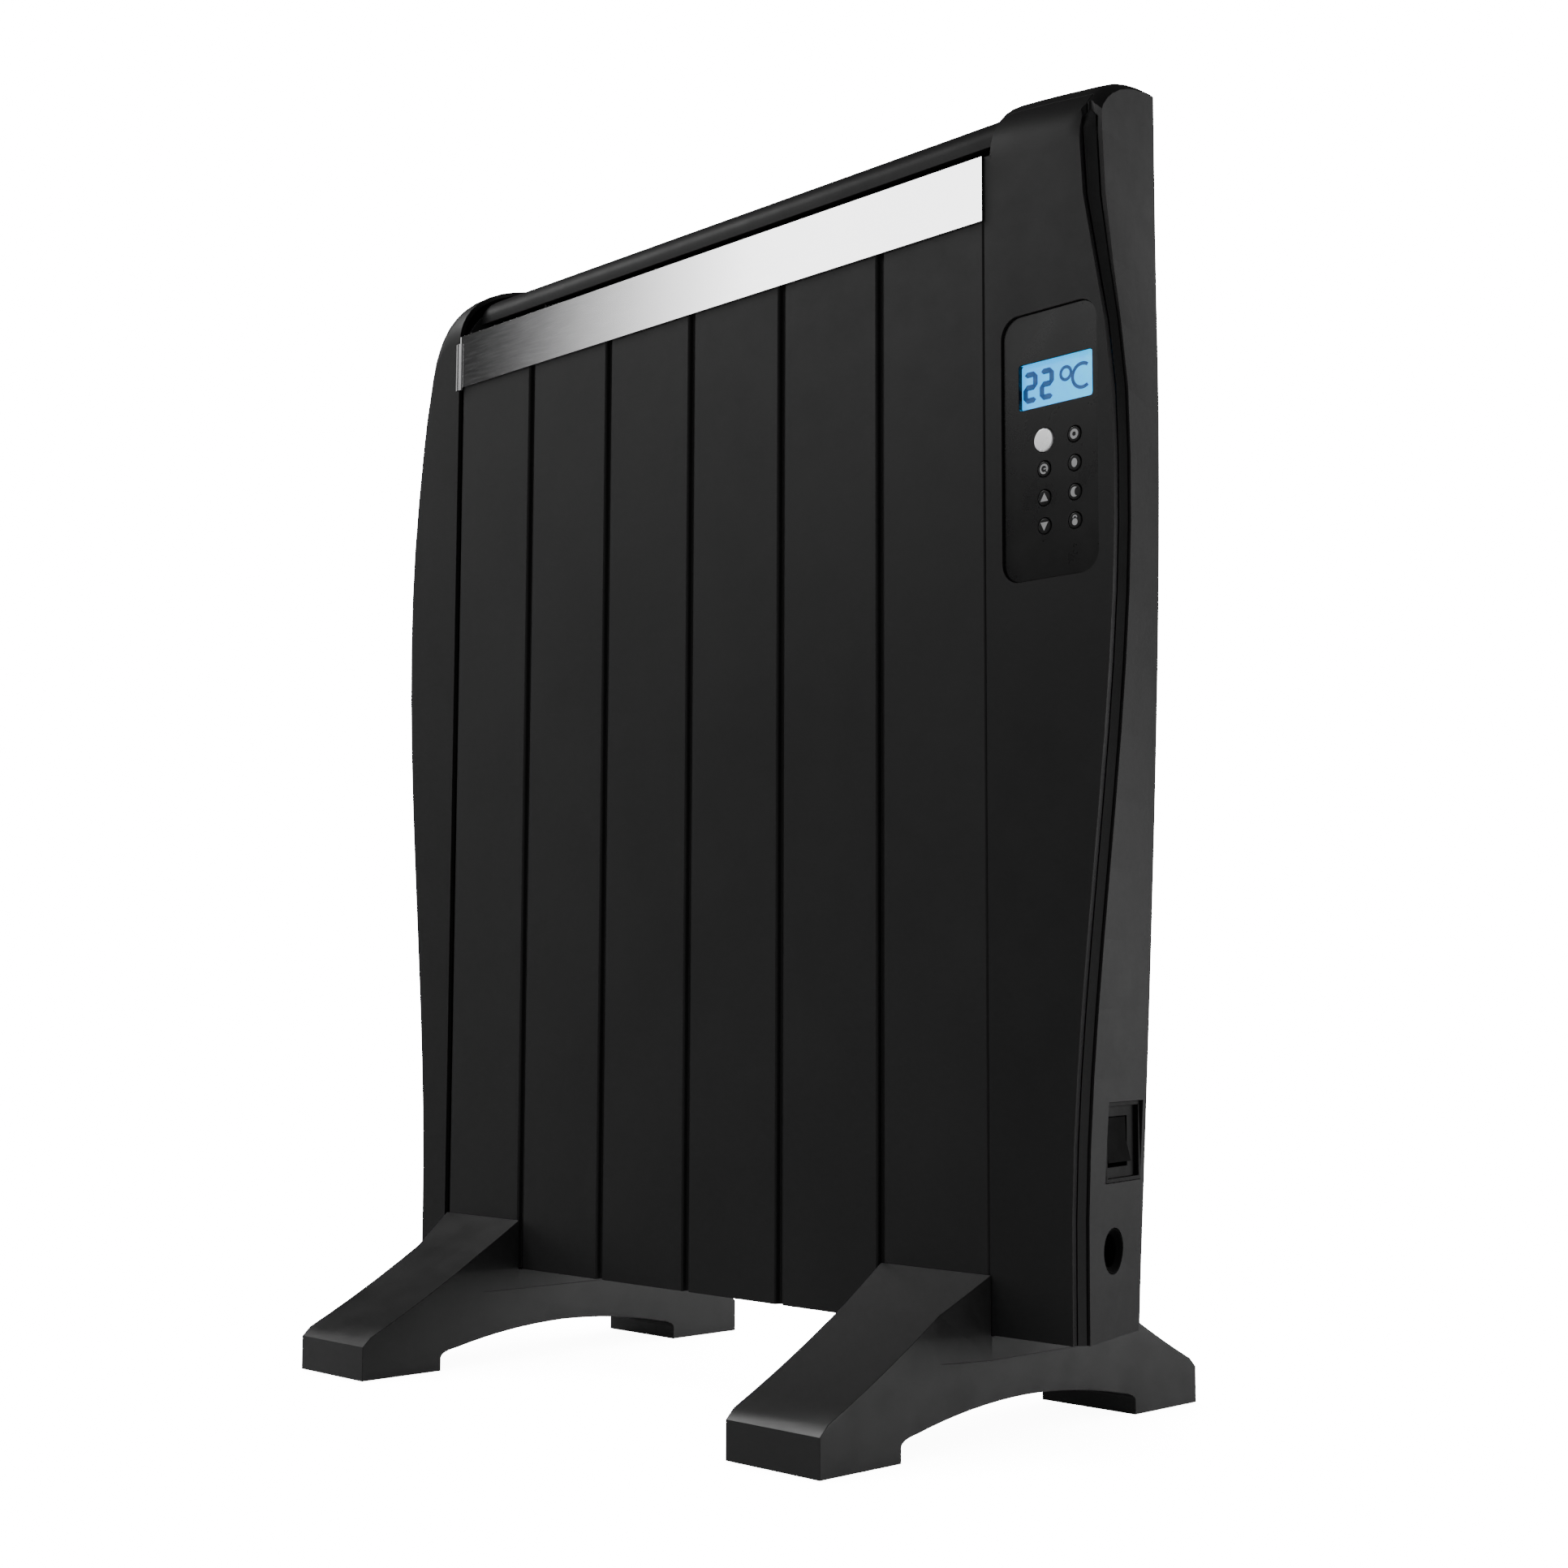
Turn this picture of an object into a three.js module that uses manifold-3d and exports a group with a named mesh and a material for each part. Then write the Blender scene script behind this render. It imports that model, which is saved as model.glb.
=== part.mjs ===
// Six-element electric panel radiator heater on two arched feet, as an assembly of separate named parts.
// Millimetres. X runs along the panel, Y from front to back, Z up; the origin is on the floor, in the middle.
import * as THREE from "three";
import { mergeVertices } from "three/addons/utils/BufferGeometryUtils.js";
import Module from "manifold-3d";

const wasm = await Module();
wasm.setup();

// ---------------------------------------------------------------- driving dimensions

const GAP = 0.3; // clearance between touching parts

// Heating panel
const ELEMENT_COUNT = 6;
const PITCH = 63;
const GROOVE = 3.8;
const DEPTH = 60.6;
const FRONT = -DEPTH / 2;
const BACK = DEPTH / 2;
const BODY_BOTTOM = 46.3;
const PANEL_TOP = 545;
const PLATE = 2.6;
const PLATE_CHAMFER = 0.8;
const WEB = 2.4;
const WEB_BOTTOM = 72;
const WEB_TOP = 515;
const ROD_TUBE_RADIUS = 7.5;
const ROD_BORE_RADIUS = 5;
const ROD_RADIUS = 4.5;
const TERMINAL_RADIUS = 1.6;
const TERMINAL_LENGTH = 10.7;
const TONGUE = 1.5;
const TONGUE_REACH = 2;
const TONGUE_ROOT = 4;

// End caps: the front edge follows an S curve, measured outwards from the seam with the panel
const LEFT_CAP = {
  side: -1,
  base: 22.5,
  bulge: { width: 20.3, from: 75, to: 380 },
  waist: { width: 15, from: 385, to: 560, ease: 1.2 },
  rear: { base: 14, gain: 10 },
  cornerFlare: 0,
  stripTop: 518,
  top: { rear: 585, fall: 22, ease: 4.2, edgeFall: 3.4, edgeReach: 4 },
};
const RIGHT_CAP = {
  side: 1,
  base: 42,
  bulge: { width: 25, from: 82, to: 392 },
  waist: { width: 16.3, from: 400, to: 538, ease: 1.35 },
  rear: { base: 31, gain: 15.8 },
  cornerFlare: 3.6,
  stripTop: 562,
  top: { rear: 582.8, fall: 4.5, ease: 1.3, edgeFall: 3.6, edgeReach: 7.5 },
};
const REAR_EASE = 1.6;
const REAR_TO = 450;
const CORNER_WIDTH = 3.6;
const CORNER_FLARE_FROM = 460;
const CORNER_FLARE_TO = 530;
const CORNER_DEPTH = 5.5;
const REAR_FILLET = 6;
const WALL = 2.2;
const CAP_START = GROOVE / 2;
const CAP_STEPS = 20;
const SWEEP_FROM = 40;
const SWEEP_TO = 600;
const SPLIT = -20; // the front covers meet the side covers here
const CHANNEL_TOP = 566;
const TOP_START = 544;
const FALL_FROM = 500;
const WIDTH_AT = 551.4; // the top's fall is measured against the cap's width at this height
const STRIP_INSET = 1.8;

// Band, outlet rail and inner frame
const BAND_BOTTOM = 517.6;
const BAND_TOP = 546.2;
const BAND_SHEET = 0.9;
const BAND_RETURN = 2.7;
const BAND_LIP = 5;
const RAIL_SHEET = 2;
const BRACKET = 1.5;
const BRACKET_EDGE = 27.5;
const TIE_BAR = 2.4;
const TIE_BAR_Y = 25.5;
const LOOM_RADIUS = 2.5;
const LOOM_Z = 57.8;

// Control panel, placed from the right-hand seam
const FASCIA = { left: 7.6, right: 58.4, bottom: 357.2, top: 471.6, radius: 9 };
const FASCIA_RECESS = 1.2;
const FASCIA_THICKNESS = 2.4;
const WINDOW = { left: 16.2, right: 55, bottom: 430.6, top: 450.2, radius: 1.2 };
const WINDOW_THICKNESS = 1.4;
const POWER_BUTTON = { name: "power_button", x: 29.6, z: 416, radius: 5.1, proud: 0.7 };
const KEY_RADIUS = 3.4;
const KEY_PROUD = 0.3;
const KEYS = [
  ["timer_button", 29.6, 403.7],
  ["up_button", 29.6, 391.5],
  ["down_button", 29.6, 379.6],
  ["mode_button", 45.6, 415.8],
  ["window_button", 45.6, 403.7],
  ["night_button", 45.6, 391.5],
  ["lock_button", 45.6, 379.6],
];
const BUTTON_BACK = 6;

// Switch and cable inlet on the right-hand side
const SWITCH_Y = 6;
const SWITCH_Z = 125.5;
const SWITCH_WIDTH = 33;
const SWITCH_HEIGHT = 33;
const ROCKER_WIDTH = 22;
const ROCKER_HEIGHT = 18.4;
const ROCKER_OFFSET = -3.6;
const ROCKER_PIVOT = -8;
const ROCKER_TILT = 8;
const GLAND_Y = -1.5;
const GLAND_Z = 81.5;
const GLAND_BORE = 6.6;
const GLAND_BODY = 9.2;

// Feet
const FOOT_HALF = 123.1;
const FOOT_TOP = BODY_BOTTOM - GAP;
const FOOT_INNER = 61.3;
const FOOT_OUTER = 8.2;
const FOOT_FLARE_OUTER = 0.5;
const FOOT_FLARE_INNER = 62.6;
const FOOT_FLARE_FROM = 54;
const FOOT_FLARE_BOTTOM = 36;
const FOOT_RAMP_TOP = 70.5;
const FOOT_SCREW_Y = 12;

// The right-hand cap is wider, so the panel sits off centre and the whole width is centred on X = 0
const leftReach = LEFT_CAP.base + LEFT_CAP.bulge.width + CORNER_WIDTH;
const rightReach = RIGHT_CAP.base + RIGHT_CAP.bulge.width + CORNER_WIDTH;
const PANEL_WIDTH = ELEMENT_COUNT * PITCH;
const LEFT_SEAM = leftReach - (leftReach + PANEL_WIDTH + rightReach) / 2;
const RIGHT_SEAM = LEFT_SEAM + PANEL_WIDTH;
LEFT_CAP.seam = LEFT_SEAM;
RIGHT_CAP.seam = RIGHT_SEAM;

// ---------------------------------------------------------------- materials

function paint(color, roughness, metalness) {
  return new THREE.MeshStandardMaterial({ color, roughness, metalness });
}

const BLACK_PAINT = () => paint(0x262626, 0.45, 0.3);
const BLACK_PLASTIC = () => paint(0x222222, 0.5, 0);
const GREY_PLASTIC = () => paint(0x333333, 0.6, 0);
const GLOSS_BLACK = () => paint(0x101010, 0.12, 0);
const CHROME = () => paint(0xd8d8d8, 0.12, 1);
const ZINC = () => paint(0x9a9a98, 0.4, 0.9);
const BOARD_GREEN = () => paint(0x1f5a35, 0.6, 0);
const LIGHT_KEY = () => paint(0xc8cacc, 0.35, 0);

// ---------------------------------------------------------------- solids

// A closed three.js geometry as a manifold solid.
function solid(geometry) {
  const bare = geometry.clone();
  for (const name of Object.keys(bare.attributes)) {
    if (name !== "position") bare.deleteAttribute(name);
  }
  const merged = mergeVertices(bare, 1e-4);
  const vertProperties = new Float32Array(merged.attributes.position.array);
  const triVerts = new Uint32Array(merged.index.array);
  return new wasm.Manifold(new wasm.Mesh({ numProp: 3, vertProperties, triVerts }));
}

// A manifold solid as a three.js geometry.
function geometryOf(made) {
  const mesh = made.getMesh();
  const geometry = new THREE.BufferGeometry();
  geometry.setAttribute("position", new THREE.BufferAttribute(new Float32Array(mesh.vertProperties), 3));
  geometry.setIndex(new THREE.BufferAttribute(new Uint32Array(mesh.triVerts), 1));
  geometry.computeVertexNormals();
  return geometry;
}

function join(first, ...others) {
  return others.reduce((sum, other) => sum.add(other), first);
}

function cut(first, ...others) {
  return others.reduce((rest, other) => rest.subtract(other), first);
}

// The largest separate body of a solid, without the slivers that a cut can leave.
function mainBody(made) {
  return made.decompose().reduce((best, body) => (body.volume() > best.volume() ? body : best));
}

function boxGeometry([x0, x1], [y0, y1], [z0, z1]) {
  const geometry = new THREE.BoxGeometry(x1 - x0, y1 - y0, z1 - z0);
  return geometry.translate((x0 + x1) / 2, (y0 + y1) / 2, (z0 + z1) / 2);
}

function box(xs, ys, zs) {
  return solid(boxGeometry(xs, ys, zs));
}

function polygon(points) {
  return new THREE.Shape(points.map(([x, y]) => new THREE.Vector2(x, y)));
}

function extrude(shape, depth, steps = 1, curveSegments = 8) {
  return new THREE.ExtrudeGeometry(shape, { depth, steps, curveSegments, bevelEnabled: false });
}

// A plan outline in X and Y, extruded up from z0 to z1.
function prismZ(shape, z0, z1, steps = 1, curveSegments = 8) {
  return extrude(shape, z1 - z0, steps, curveSegments).translate(0, 0, z0);
}

// A side outline in Y and Z, extruded along X from x0 to x1.
function prismX(shape, x0, x1, steps = 1, curveSegments = 8) {
  const turn = new THREE.Matrix4().makeBasis(
    new THREE.Vector3(0, 1, 0),
    new THREE.Vector3(0, 0, 1),
    new THREE.Vector3(1, 0, 0),
  );
  return extrude(shape, x1 - x0, steps, curveSegments).applyMatrix4(turn).translate(x0, 0, 0);
}

// A front outline in X and Z, extruded along Y from y0 to y1.
function prismY(shape, y0, y1, curveSegments = 8) {
  return extrude(shape, y1 - y0, 1, curveSegments).rotateX(Math.PI / 2).translate(0, y1, 0);
}

// A round bar along Z.
function barZ(radius, x, y, z0, z1, sides = 20) {
  const geometry = new THREE.CylinderGeometry(radius, radius, z1 - z0, sides);
  return geometry.rotateX(Math.PI / 2).translate(x, y, (z0 + z1) / 2);
}

// A round bar along Y.
function barY(radius, x, z, y0, y1, sides = 20) {
  const geometry = new THREE.CylinderGeometry(radius, radius, y1 - y0, sides);
  return geometry.translate(x, (y0 + y1) / 2, z);
}

// A round bar along X.
function barX(radius, y, z, x0, x1, sides = 20) {
  const geometry = new THREE.CylinderGeometry(radius, radius, x1 - x0, sides);
  return geometry.rotateZ(Math.PI / 2).translate((x0 + x1) / 2, y, z);
}

function roundedRectangle({ left, right, bottom, top, radius }, grow = 0) {
  const x0 = left - grow;
  const x1 = right + grow;
  const z0 = bottom - grow;
  const z1 = top + grow;
  const r = radius + grow;
  const shape = new THREE.Shape();
  shape.moveTo(x0 + r, z0);
  shape.lineTo(x1 - r, z0);
  shape.absarc(x1 - r, z0 + r, r, -Math.PI / 2, 0);
  shape.lineTo(x1, z1 - r);
  shape.absarc(x1 - r, z1 - r, r, 0, Math.PI / 2);
  shape.lineTo(x0 + r, z1);
  shape.absarc(x0 + r, z1 - r, r, Math.PI / 2, Math.PI);
  shape.lineTo(x0, z0 + r);
  shape.absarc(x0 + r, z0 + r, r, Math.PI, 1.5 * Math.PI);
  return shape;
}

// Moves each vertex of a geometry to the place that the function gives.
function warp(geometry, place) {
  const position = geometry.attributes.position;
  const v = new THREE.Vector3();
  for (let i = 0; i < position.count; i++) {
    v.fromBufferAttribute(position, i);
    place(v);
    position.setXYZ(i, v.x, v.y, v.z);
  }
  return geometry;
}

// Turns a mirrored geometry's faces round, so that they face out again.
function flip(geometry) {
  const plain = geometry.index ? geometry.toNonIndexed() : geometry;
  const a = plain.attributes.position.array;
  for (let i = 0; i < a.length; i += 9) {
    for (let k = 0; k < 3; k++) {
      [a[i + k], a[i + 3 + k]] = [a[i + 3 + k], a[i + k]];
    }
  }
  return plain;
}

const model = new THREE.Group();

function add(name, made, material) {
  const mesh = new THREE.Mesh(made.isBufferGeometry ? made : geometryOf(made), material);
  mesh.name = name;
  model.add(mesh);
  return mesh;
}

// ---------------------------------------------------------------- end cap shape

const smooth = (value, from, to) => THREE.MathUtils.smoothstep(value, from, to);

// Distance from the seam to the front panel's outer edge.
function frontWidth(cap, z) {
  const { bulge, waist } = cap;
  const t = THREE.MathUtils.clamp((z - waist.from) / (waist.to - waist.from), 0, 1);
  const bulged = cap.base + bulge.width * smooth(z, bulge.from, bulge.to);
  return bulged - waist.width * smooth(t ** waist.ease, 0, 1);
}

// Distance from the seam to the outer rear edge.
function rearWidth(cap, z) {
  const t = THREE.MathUtils.clamp((z - BODY_BOTTOM) / (REAR_TO - BODY_BOTTOM), 0, 1);
  return cap.rear.base + cap.rear.gain * (1 - (1 - t) ** REAR_EASE);
}

// Width of the channel at the front corner, which opens out towards the top.
function cornerWidth(cap, z) {
  return CORNER_WIDTH + cap.cornerFlare * smooth(z, CORNER_FLARE_FROM, CORNER_FLARE_TO);
}

// Distance from the seam to the cap's outer surface at a depth and height.
function capWidth(cap, y, z) {
  const front = frontWidth(cap, z);
  const corner = cornerWidth(cap, z);
  const cornerEnd = FRONT + CORNER_DEPTH;
  if (y < cornerEnd) return front + corner * Math.max(0, (y - FRONT) / CORNER_DEPTH);
  const t = Math.min(1, (y - cornerEnd) / (BACK - cornerEnd));
  return THREE.MathUtils.lerp(front + corner, rearWidth(cap, z), t);
}

// Below this, a plan outline's X is counted from the seam; above it, from OUTER at the cap's outer surface.
const MIDWAY = 50;
const OUTER = 100;

// A plan outline swept up the cap, following either the outer surface or the front panel's edge.
function capSweep(cap, outline, z0, z1, followFrontEdge = false) {
  const shape = Array.isArray(outline) ? polygon(outline) : outline;
  const geometry = warp(prismZ(shape, SWEEP_FROM, SWEEP_TO, CAP_STEPS, 3), (v) => {
    const width = followFrontEdge ? frontWidth(cap, v.z) : capWidth(cap, v.y, v.z);
    const spread = followFrontEdge && v.x > OUTER ? cornerWidth(cap, v.z) / CORNER_WIDTH : 1;
    const reach = v.x < MIDWAY ? v.x : width + (v.x - OUTER) * spread;
    v.x = cap.seam + cap.side * reach;
  });
  const swept = solid(cap.side < 0 ? flip(geometry) : geometry);
  return swept.intersect(box([-400, 400], [-100, 100], [z0, z1]));
}

// The side outline of the cap's rounded top, from the front face over to the rear.
function topOutline(cap, inset) {
  const rear = cap.top.rear - inset;
  const shape = new THREE.Shape();
  shape.moveTo(FRONT + inset, 0);
  shape.lineTo(FRONT + inset, TOP_START - inset / 2);
  shape.bezierCurveTo(FRONT + inset, 559 - inset / 2, -19.5 + inset, 579 - inset, BACK - 4, rear);
  shape.lineTo(BACK - 2, rear - 0.8);
  shape.lineTo(BACK, rear - 3);
  shape.lineTo(BACK, 0);
  return shape;
}

// Everything below the cap's top surface, which falls away towards the outer side and rounds its edge.
function belowTop(cap, inset) {
  const { fall, ease, edgeFall, edgeReach } = cap.top;
  const topWidth = frontWidth(cap, WIDTH_AT);
  const geometry = warp(prismX(topOutline(cap, inset), -5, 80, 42, 12), (v) => {
    const out = THREE.MathUtils.clamp(v.x / topWidth, 0, 1.3);
    const fromEdge = capWidth(cap, v.y, WIDTH_AT) - v.x;
    const overEdge = THREE.MathUtils.clamp(1 - fromEdge / edgeReach, 0, 1.2);
    const lift = THREE.MathUtils.clamp((v.z - FALL_FROM) / (TOP_START - FALL_FROM), 0, 1);
    v.z -= (fall * out ** ease + edgeFall * overEdge ** 2) * lift;
    v.x = cap.seam + cap.side * v.x;
  });
  return solid(cap.side < 0 ? flip(geometry) : geometry);
}

function capOutline(inset, start) {
  const x1 = OUTER - inset;
  const y0 = FRONT + inset;
  const y1 = BACK - inset;
  const r = REAR_FILLET - inset;
  const shape = new THREE.Shape();
  shape.moveTo(start, y0);
  shape.lineTo(x1, y0);
  shape.lineTo(x1, FRONT + CORNER_DEPTH);
  shape.lineTo(x1, y1 - r);
  shape.absarc(x1 - r, y1 - r, r, 0, Math.PI / 2);
  shape.lineTo(start, y1);
  return shape;
}

// The cap's hollow shell, open towards the end bracket.
function capShell(cap) {
  const outside = capSweep(cap, capOutline(0, CAP_START), BODY_BOTTOM, SWEEP_TO).intersect(belowTop(cap, 0));
  const hollow = capSweep(cap, capOutline(WALL, -3), BODY_BOTTOM + WALL, SWEEP_TO);
  const inside = hollow.intersect(belowTop(cap, WALL));
  return outside.subtract(inside);
}

const STRIP_OUTLINE = [
  [OUTER - 0.1, FRONT + 2.7],
  [OUTER + 2.2, FRONT + 5.4],
  [OUTER + 0.4, FRONT + 6.2],
  [OUTER - 1.6, FRONT + 3.9],
];

const STRIP_CLEARANCE = [
  [OUTER + 0.1, FRONT + 2.2],
  [OUTER + 2.8, FRONT + 5.4],
  [OUTER + 0.5, FRONT + 6.7],
  [OUTER - 2.2, FRONT + 3.8],
];

function makeCapCovers(cap) {
  const shell = capShell(cap);
  const stripRoom = capSweep(cap, STRIP_CLEARANCE, 0, cap.stripTop + 5, true);
  const zone = (x1, y1) => [
    [-5, FRONT - 5],
    [x1, FRONT - 5],
    [x1, y1],
    [-5, y1],
  ];
  const channel = [
    [OUTER - 0.5, FRONT - 5],
    [OUTER + 20, FRONT - 5],
    [OUTER + 20, FRONT + CORNER_DEPTH + 0.5],
    [OUTER - 0.5, FRONT + CORNER_DEPTH + 0.5],
  ];
  const frontZone = capSweep(cap, zone(OUTER - 0.5, SPLIT - GAP / 2), 0, SWEEP_TO, true);
  const notSide = capSweep(cap, zone(OUTER - 0.2, SPLIT + GAP / 2), 0, SWEEP_TO, true);
  const channelRoom = capSweep(cap, channel, 0, CHANNEL_TOP, true);
  const front = mainBody(cut(shell.intersect(frontZone), stripRoom));
  const side = mainBody(cut(shell, notSide, channelRoom, stripRoom));
  const tallStrip = capSweep(cap, STRIP_OUTLINE, BODY_BOTTOM, cap.stripTop, true);
  const strip = tallStrip.intersect(belowTop(cap, STRIP_INSET));
  return { front, side, strip };
}

// ---------------------------------------------------------------- heating elements

const elementCentre = (i) => LEFT_SEAM + (i + 0.5) * PITCH;

// Plan outline of one extruded element: two face plates, a web, and a round tube for the heating rod.
function elementShape(withTongues) {
  const half = (PITCH - GROOVE) / 2;
  const c = PLATE_CHAMFER;
  const w = WEB / 2;
  const inner = -FRONT - PLATE;
  const tubeEdge = Math.sqrt(ROD_TUBE_RADIUS ** 2 - w ** 2);
  const tubeAngle = Math.asin(w / ROD_TUBE_RADIUS);
  const shape = new THREE.Shape();
  const tongue = (s) => {
    const near = s * (-FRONT - PLATE - GAP);
    const far = s * (-FRONT - PLATE - GAP - TONGUE);
    const steps = [
      [half, near],
      [half + GROOVE + TONGUE_REACH, near],
      [half + GROOVE + TONGUE_REACH, far],
      [half - TONGUE_ROOT, far],
      [half - TONGUE_ROOT, s * inner],
    ];
    (s < 0 ? steps : steps.reverse()).forEach(([x, y]) => shape.lineTo(x, y));
  };
  shape.moveTo(-half + c, FRONT);
  shape.lineTo(half - c, FRONT);
  shape.lineTo(half, FRONT + c);
  if (withTongues) tongue(-1);
  else shape.lineTo(half, -inner);
  shape.lineTo(w, -inner);
  shape.lineTo(w, -tubeEdge);
  shape.absarc(0, 0, ROD_TUBE_RADIUS, tubeAngle - Math.PI / 2, Math.PI / 2 - tubeAngle);
  shape.lineTo(w, inner);
  if (withTongues) tongue(1);
  else shape.lineTo(half, inner);
  shape.lineTo(half, BACK - c);
  shape.lineTo(half - c, BACK);
  shape.lineTo(-half + c, BACK);
  shape.lineTo(-half, BACK - c);
  shape.lineTo(-half, inner);
  shape.lineTo(-w, inner);
  shape.lineTo(-w, tubeEdge);
  shape.absarc(0, 0, ROD_TUBE_RADIUS, Math.PI / 2 + tubeAngle, 1.5 * Math.PI - tubeAngle);
  shape.lineTo(-w, -inner);
  shape.lineTo(-half, -inner);
  shape.lineTo(-half, FRONT + c);
  const bore = new THREE.Path();
  bore.absarc(0, 0, ROD_BORE_RADIUS, 0, 2 * Math.PI);
  shape.holes.push(bore);
  return shape;
}

function makeElements() {
  const notch = [-ROD_TUBE_RADIUS - 1, ROD_TUBE_RADIUS + 1];
  const depth = [FRONT + PLATE, BACK - PLATE];
  for (let i = 0; i < ELEMENT_COUNT; i++) {
    const profile = solid(prismZ(elementShape(i < ELEMENT_COUNT - 1), BODY_BOTTOM, PANEL_TOP, 1, 5));
    const bottomNotch = box(notch, depth, [0, WEB_BOTTOM]);
    const topNotch = box(notch, depth, [WEB_TOP, PANEL_TOP + 1]);
    const element = add(`element_${i + 1}`, cut(profile, bottomNotch, topNotch), BLACK_PAINT());
    element.position.x = elementCentre(i);
  }
}

function makeHeatingRods() {
  const bottom = WEB_BOTTOM;
  const top = WEB_TOP - 5;
  const profile = [
    [0, bottom - TERMINAL_LENGTH],
    [TERMINAL_RADIUS, bottom - TERMINAL_LENGTH],
    [TERMINAL_RADIUS, bottom],
    [ROD_RADIUS, bottom],
    [ROD_RADIUS, top],
    [0, top],
  ].map(([r, z]) => new THREE.Vector2(r, z));
  for (let i = 0; i < ELEMENT_COUNT; i++) {
    const rod = add(`heating_rod_${i + 1}`, new THREE.LatheGeometry(profile, 12), ZINC());
    rod.geometry.rotateX(Math.PI / 2);
    rod.position.x = elementCentre(i);
  }
}

// ---------------------------------------------------------------- band, rail and inner frame

// Bright trim band across the top of the front, with a lip over the plates and a rounded left-hand return.
function makeBand() {
  const front = FRONT - GAP - BAND_SHEET;
  const start = LEFT_SEAM + 1.3;
  const end = RIGHT_SEAM - 1.7;
  const sheet = box([start, end], [front, front + BAND_SHEET], [BAND_BOTTOM, BAND_TOP]);
  const lip = box([start, end], [front, front + BAND_LIP], [BAND_TOP - BAND_SHEET, BAND_TOP]);
  const centre = front + BAND_RETURN;
  const returnShape = new THREE.Shape();
  returnShape.absarc(start, centre, BAND_RETURN, Math.PI, 1.5 * Math.PI);
  returnShape.lineTo(start + 0.2, front);
  returnShape.lineTo(start + 0.2, front + BAND_SHEET);
  returnShape.absarc(start, centre, BAND_RETURN - BAND_SHEET, 1.5 * Math.PI, Math.PI, true);
  const bend = solid(prismZ(returnShape, BAND_BOTTOM, BAND_TOP));
  add("top_band", join(sheet, lip, bend), CHROME());
}

// Curved outlet rail along the rear of the top, which turns the warm air forwards.
function makeOutletRail() {
  const lip = [-17, 556.4];
  const t = RAIL_SHEET;
  const shape = new THREE.Shape();
  shape.moveTo(lip[0], lip[1]);
  shape.lineTo(-16.8, 560.5);
  shape.bezierCurveTo(-15.5, 568, -6, 576, BACK - 3, 581);
  shape.lineTo(BACK, 578.5);
  shape.lineTo(BACK, PANEL_TOP + GAP);
  shape.lineTo(BACK - t, PANEL_TOP + GAP);
  shape.lineTo(BACK - t, 577.5);
  shape.lineTo(BACK - 4, 578.6);
  shape.bezierCurveTo(-5, 574, -12.5, 567, -14.8, 560.5);
  shape.lineTo(lip[0] + t, lip[1]);
  add("outlet_rail", prismX(shape, LEFT_SEAM + 0.2, RIGHT_SEAM - 0.2, 1, 10), BLACK_PAINT());
}

function makeTieBars() {
  const xs = [LEFT_SEAM + 0.2, RIGHT_SEAM - 0.2];
  const levels = { top: [520, 540], bottom: [52, 66] };
  for (const [level, zs] of Object.entries(levels)) {
    add(`front_${level}_tie_bar`, boxGeometry(xs, [-TIE_BAR_Y, TIE_BAR - TIE_BAR_Y], zs), ZINC());
    add(`rear_${level}_tie_bar`, boxGeometry(xs, [TIE_BAR_Y - TIE_BAR, TIE_BAR_Y], zs), ZINC());
  }
}

// End bracket: a plate with a flange for the foot and two tabs for the cover screws.
function makeBracket(cap) {
  const xs = (a, b) => {
    const ends = [cap.seam + cap.side * a, cap.seam + cap.side * b];
    return ends.sort((p, q) => p - q);
  };
  const e = BRACKET_EDGE;
  const shape = new THREE.Shape();
  shape.moveTo(-e, BODY_BOTTOM + 0.1);
  shape.lineTo(-e, 541);
  shape.bezierCurveTo(-25.5, 556, -8, 575.5, e, 580.5);
  shape.lineTo(e, BODY_BOTTOM + 0.1);
  let plate = solid(prismX(shape, ...xs(0.1, 0.1 + BRACKET), 1, 10));
  plate = join(plate, box(xs(-58, 0.5), [-20, 20], [BODY_BOTTOM + 0.1, BODY_BOTTOM + 2.1]));
  for (const z of COVER_SCREW_Z) {
    const tab = box(xs(1, coverScrewReach(cap) + 5), [24, 26], [z - 9, z + 9]);
    const hole = solid(barY(1.8, cap.seam + cap.side * coverScrewReach(cap), z, 20, 30));
    plate = cut(join(plate, tab), hole);
  }
  for (const y of [-FOOT_SCREW_Y, FOOT_SCREW_Y]) {
    plate = cut(plate, solid(barZ(2.3, footScrewX(cap), y, 40, 55)));
  }
  return cut(plate, solid(barX(5, 0, LOOM_Z, ...xs(-2, 4))));
}

// Wiring loom from the terminal block down and along under the heating rods.
function makeLoom() {
  const drop = RIGHT_SEAM + 12;
  const end = elementCentre(0) - 4;
  const path = new THREE.CurvePath();
  const at = (x, z) => new THREE.Vector3(x, 0, z);
  path.add(new THREE.LineCurve3(at(drop, 146), at(drop, LOOM_Z + 12)));
  path.add(new THREE.QuadraticBezierCurve3(at(drop, LOOM_Z + 12), at(drop, LOOM_Z), at(drop - 12, LOOM_Z)));
  path.add(new THREE.LineCurve3(at(drop - 12, LOOM_Z), at(end, LOOM_Z)));
  const section = new THREE.Shape();
  section.absarc(0, 0, LOOM_RADIUS, 0, 2 * Math.PI);
  const tube = new THREE.ExtrudeGeometry(section, { steps: 48, curveSegments: 3, extrudePath: path });
  add("wiring_loom", tube, paint(0x40404a, 0.6, 0));
}

// ---------------------------------------------------------------- control panel

const fromSeam = (part) => ({ ...part, left: part.left + RIGHT_SEAM, right: part.right + RIGHT_SEAM });

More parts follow.
